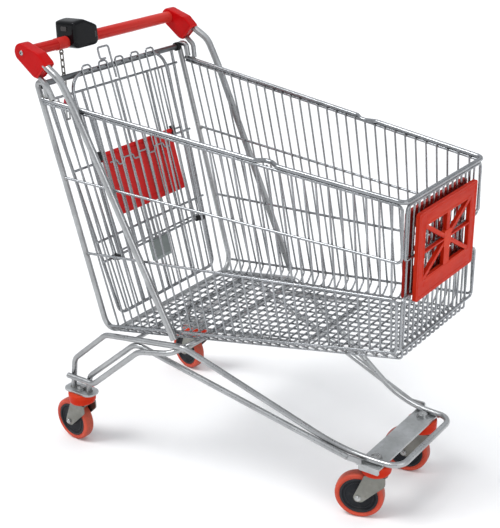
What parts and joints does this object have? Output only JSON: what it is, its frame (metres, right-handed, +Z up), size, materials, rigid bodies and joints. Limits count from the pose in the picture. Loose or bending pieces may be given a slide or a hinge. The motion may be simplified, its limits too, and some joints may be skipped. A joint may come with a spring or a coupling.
{
  "type": "shopping trolley",
  "caption": "Wire shopping trolley with a tapered basket, hinged rear gate, folding child seat, coin lock on the handle and swivel castors.",
  "frame": {"origin": "centre of the footprint of the whole trolley, on the floor", "axes": "+X forward, towards the front panel; +Y to the left of the person pushing; +Z up"},
  "size_m": [0.9974, 0.5402, 1.0673],
  "materials": {
    "zinc_tube": "satin bright zinc plated tube",
    "zinc_wire": "bright zinc plated drawn wire",
    "zinc_plate": "pressed zinc plated sheet",
    "dark_steel": "dark worn steel",
    "fastener": "zinc plated bolt",
    "red_plastic": "glossy bright red moulding",
    "grip_plastic": "smooth red tube",
    "panel_plastic": "orange-red moulding",
    "cover_plastic": "orange-red moulding",
    "tyre": "orange-red cast tyre",
    "hub_plastic": "dark grey wheel centre",
    "black_plastic": "glossy black moulding",
    "label_plastic": "dark grey-green moulding",
    "crimson_plastic": "crimson moulding"
  },
  "bodies": {
    "frame": {"chassis_tube": "zinc_tube", "inner_tubes": "zinc_tube", "cross_tube": "zinc_tube", "floor_supports": "zinc_tube", "rear_plates": "zinc_plate", "front_plate": "zinc_plate", "swivel_bolts": "fastener", "basket_rim": "zinc_wire", "side_loops": "zinc_wire", "front_loops": "zinc_wire", "side_wires": "zinc_wire", "front_wires": "zinc_wire", "floor_wires": "zinc_wire", "rear_frame": "zinc_tube", "front_posts": "zinc_tube", "rear_posts": "zinc_tube", "handle_bar": "grip_plastic", "handle_brackets": "red_plastic", "screws": "fastener", "coin_lock_body": "black_plastic", "lock_collar": "red_plastic", "chain_eye": "dark_steel", "hinge_bushings": "black_plastic", "panel_front": "panel_plastic", "panel_back": "panel_plastic"},
    "coin_slide": {"coin_slide": "black_plastic"},
    "key_chain": {"lock_chain": "dark_steel", "key_holder": "crimson_plastic", "key_blade": "fastener"},
    "gate": {"gate_rod": "dark_steel", "gate_frame": "zinc_wire", "gate_bars": "zinc_wire", "gate_wires": "zinc_wire", "label_holder": "label_plastic"},
    "seat_back": {"seat_frame": "zinc_wire", "seat_wires": "zinc_wire", "seat_bars": "zinc_wire", "flap_clips": "black_plastic", "seat_pivots": "black_plastic"},
    "seat_flap": {"seat_flap": "red_plastic"},
    "castor_rear_left": {"fork_rear_left": "zinc_plate", "swivel_cover_rear_left": "cover_plastic", "axle_rear_left": "fastener"},
    "wheel_rear_left": {"hub_rear_left": "hub_plastic", "tyre_rear_left": "tyre"},
    "castor_rear_right": {"fork_rear_right": "zinc_plate", "swivel_cover_rear_right": "cover_plastic", "axle_rear_right": "fastener"},
    "wheel_rear_right": {"hub_rear_right": "hub_plastic", "tyre_rear_right": "tyre"},
    "castor_front_left": {"fork_front_left": "zinc_plate", "swivel_cover_front_left": "cover_plastic", "axle_front_left": "fastener"},
    "wheel_front_left": {"hub_front_left": "hub_plastic", "tyre_front_left": "tyre"},
    "castor_front_right": {"fork_front_right": "zinc_plate", "swivel_cover_front_right": "cover_plastic", "axle_front_right": "fastener"},
    "wheel_front_right": {"hub_front_right": "hub_plastic", "tyre_front_right": "tyre"}
  },
  "joints": [
    {"name": "gate_hinge", "type": "hinge", "parent": "frame", "child": "gate", "pos_m": [-0.4075, 0, 0.9435], "axis": [0, -1, 0], "range_deg": [0, 75]},
    {"name": "seat_back_fold", "type": "hinge", "parent": "gate", "child": "seat_back", "pos_m": [-0.30933, 0, 0.51252], "axis": [0, 1, 0], "range_deg": [0, 36]},
    {"name": "seat_flap_fold", "type": "hinge", "parent": "seat_back", "child": "seat_flap", "pos_m": [-0.35157, 0, 0.75327], "axis": [0, 1, 0], "range_deg": [0, 35]},
    {"name": "chain_swing", "type": "hinge", "parent": "frame", "child": "key_chain", "pos_m": [-0.4325, -0.146, 0.9923], "axis": [0, 1, 0], "range_deg": [0, 60]},
    {"name": "coin_slide_travel", "type": "slide", "parent": "frame", "child": "coin_slide", "axis": [-1, 0, 0], "range_m": [0, 0.01]},
    {"name": "swivel_rear_left", "type": "hinge", "parent": "frame", "child": "castor_rear_left", "pos_m": [-0.4035, 0.23, 0.1165], "axis": [0, 0, 1], "continuous": true},
    {"name": "spin_rear_left", "type": "hinge", "parent": "castor_rear_left", "child": "wheel_rear_left", "pos_m": [-0.44067, 0.2379, 0.057], "axis": [0.2079, 0.9781, 0], "continuous": true},
    {"name": "swivel_rear_right", "type": "hinge", "parent": "frame", "child": "castor_rear_right", "pos_m": [-0.4035, -0.23, 0.1165], "axis": [0, 0, 1], "continuous": true},
    {"name": "spin_rear_right", "type": "hinge", "parent": "castor_rear_right", "child": "wheel_rear_right", "pos_m": [-0.44145, -0.22801, 0.057], "axis": [0.0523, 0.9986, 0], "continuous": true},
    {"name": "swivel_front_left", "type": "hinge", "parent": "frame", "child": "castor_front_left", "pos_m": [0.3905, 0.108, 0.1165], "axis": [0, 0, 1], "continuous": true},
    {"name": "spin_front_left", "type": "hinge", "parent": "castor_front_left", "child": "wheel_front_left", "pos_m": [0.35296, 0.10206, 0.057], "axis": [-0.1564, 0.9877, 0], "continuous": true},
    {"name": "swivel_front_right", "type": "hinge", "parent": "frame", "child": "castor_front_right", "pos_m": [0.3905, -0.108, 0.1165], "axis": [0, 0, 1], "continuous": true},
    {"name": "spin_front_right", "type": "hinge", "parent": "castor_front_right", "child": "wheel_front_right", "pos_m": [0.35457, -0.12037, 0.057], "axis": [-0.3256, 0.9455, 0], "continuous": true}
  ],
  "couplings": [
    {"joint": "seat_flap_fold", "follows": "seat_back_fold", "ratio": 0.95}
  ]
}
